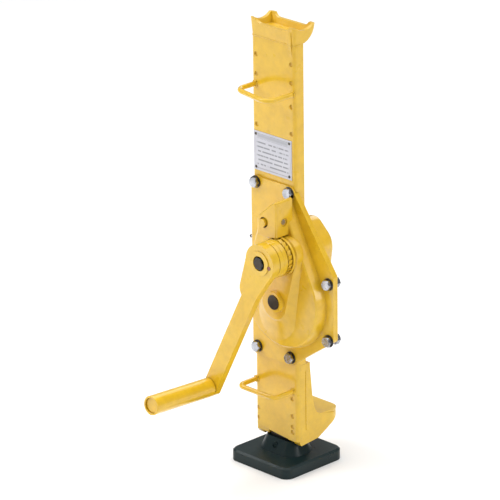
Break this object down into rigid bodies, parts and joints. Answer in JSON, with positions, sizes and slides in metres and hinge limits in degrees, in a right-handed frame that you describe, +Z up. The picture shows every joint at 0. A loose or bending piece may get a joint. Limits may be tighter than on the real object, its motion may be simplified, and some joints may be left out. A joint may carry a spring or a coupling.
{
  "type": "rack and pinion jack",
  "caption": "Steel rack jack: a yellow column with a top head and a low toe climbs a toothed rack on a black foot when its side crank is turned.",
  "frame": {"origin": "centre of the foot plate's underside", "axes": "+Z up along the rack, +X to the gear case's side, +Y to the toe's side, away from the crank"},
  "size_m": [0.1945, 0.3286, 0.73],
  "materials": {
    "yellow_paint": "semi-gloss yellow enamel",
    "foot_paint": "satin black-green paint",
    "machined_steel": "machined and oiled",
    "zinc_plate": "bright zinc plate",
    "black_oxide": "black oxide",
    "lock_screw_red": "red-brown lacquer",
    "bronze": "plain bearing bronze",
    "friction_lining": "woven friction lining",
    "plate_silver": "matt anodised",
    "rivet_steel": "dark steel"
  },
  "bodies": {
    "foot_and_rack": {"base_plate": "foot_paint", "rack": "machined_steel", "foot_pin": "foot_paint", "rack_stop_plate": "machined_steel", "rack_stop_screws": "zinc_plate"},
    "housing": {"front_channel": "yellow_paint", "rack_channel": "yellow_paint", "threaded_blocks": "yellow_paint", "lower_rack_guide": "bronze", "upper_rack_guide": "bronze", "toe_claw": "yellow_paint", "lift_head": "yellow_paint", "upper_bail": "yellow_paint", "lower_bail": "yellow_paint", "nameplate": "plate_silver", "nameplate_rivets": "rivet_steel", "grease_nipple": "zinc_plate", "front_gear_cover": "yellow_paint", "case_spacer": "yellow_paint", "rear_gear_cover": "yellow_paint", "front_pinion_bush": "bronze", "rear_pinion_bush": "bronze", "front_crank_bush": "bronze", "rear_crank_bush": "bronze", "cover_bolts": "zinc_plate", "cover_washers": "zinc_plate", "cover_nuts": "zinc_plate", "pawl_housing": "yellow_paint", "pawl_pin": "yellow_paint", "pawl_stop_pin": "zinc_plate", "pawl_spring": "machined_steel"},
    "pinion_shaft": {"rack_pinion_shaft": "machined_steel", "drive_gear": "machined_steel", "drive_gear_key": "machined_steel", "gear_retaining_ring": "machined_steel"},
    "crank": {"crank_shaft": "machined_steel", "thrust_washer": "yellow_paint", "brake_flange": "yellow_paint", "friction_discs": "friction_lining", "ratchet_wheel": "yellow_paint", "pressure_drum": "yellow_paint", "hub_drum": "yellow_paint", "crank_arm": "yellow_paint", "crank_nut": "black_oxide", "hub_lock_screw": "lock_screw_red", "grip_axle": "yellow_paint"},
    "grip": {"handle_grip": "yellow_paint", "grip_bushes": "bronze"},
    "pawl": {"pawl": "machined_steel"}
  },
  "joints": [
    {"name": "lift", "type": "slide", "parent": "foot_and_rack", "child": "housing", "axis": [0, 0, 1], "range_m": [0, 0.35]},
    {"name": "pinion_turn", "type": "hinge", "parent": "housing", "child": "pinion_shaft", "pos_m": [0.0325, 0, 0.291], "axis": [0, -1, 0], "range_deg": [0, 1337.5]},
    {"name": "crank_turn", "type": "hinge", "parent": "housing", "child": "crank", "pos_m": [0.05, -0.06, 0.37316], "axis": [0, 1, 0], "range_deg": [0, 9360]},
    {"name": "grip_spin", "type": "hinge", "parent": "crank", "child": "grip", "pos_m": [-0.04904, -0.11544, 0.14428], "axis": [0.0277, -0.9976, 0.064], "continuous": true},
    {"name": "pawl_swing", "type": "hinge", "parent": "housing", "child": "pawl", "pos_m": [0.0255, -0.06, 0.425], "axis": [0, -1, 0], "range_deg": [0, 12], "stiffness_Nm_per_rad": 0.05, "springref_deg": -17.19, "deforming": ["pawl_spring"]}
  ],
  "couplings": [
    {"joint": "pinion_turn", "follows": "lift", "rad_per_m": 66.667},
    {"joint": "crank_turn", "follows": "lift", "rad_per_m": 466.67}
  ]
}
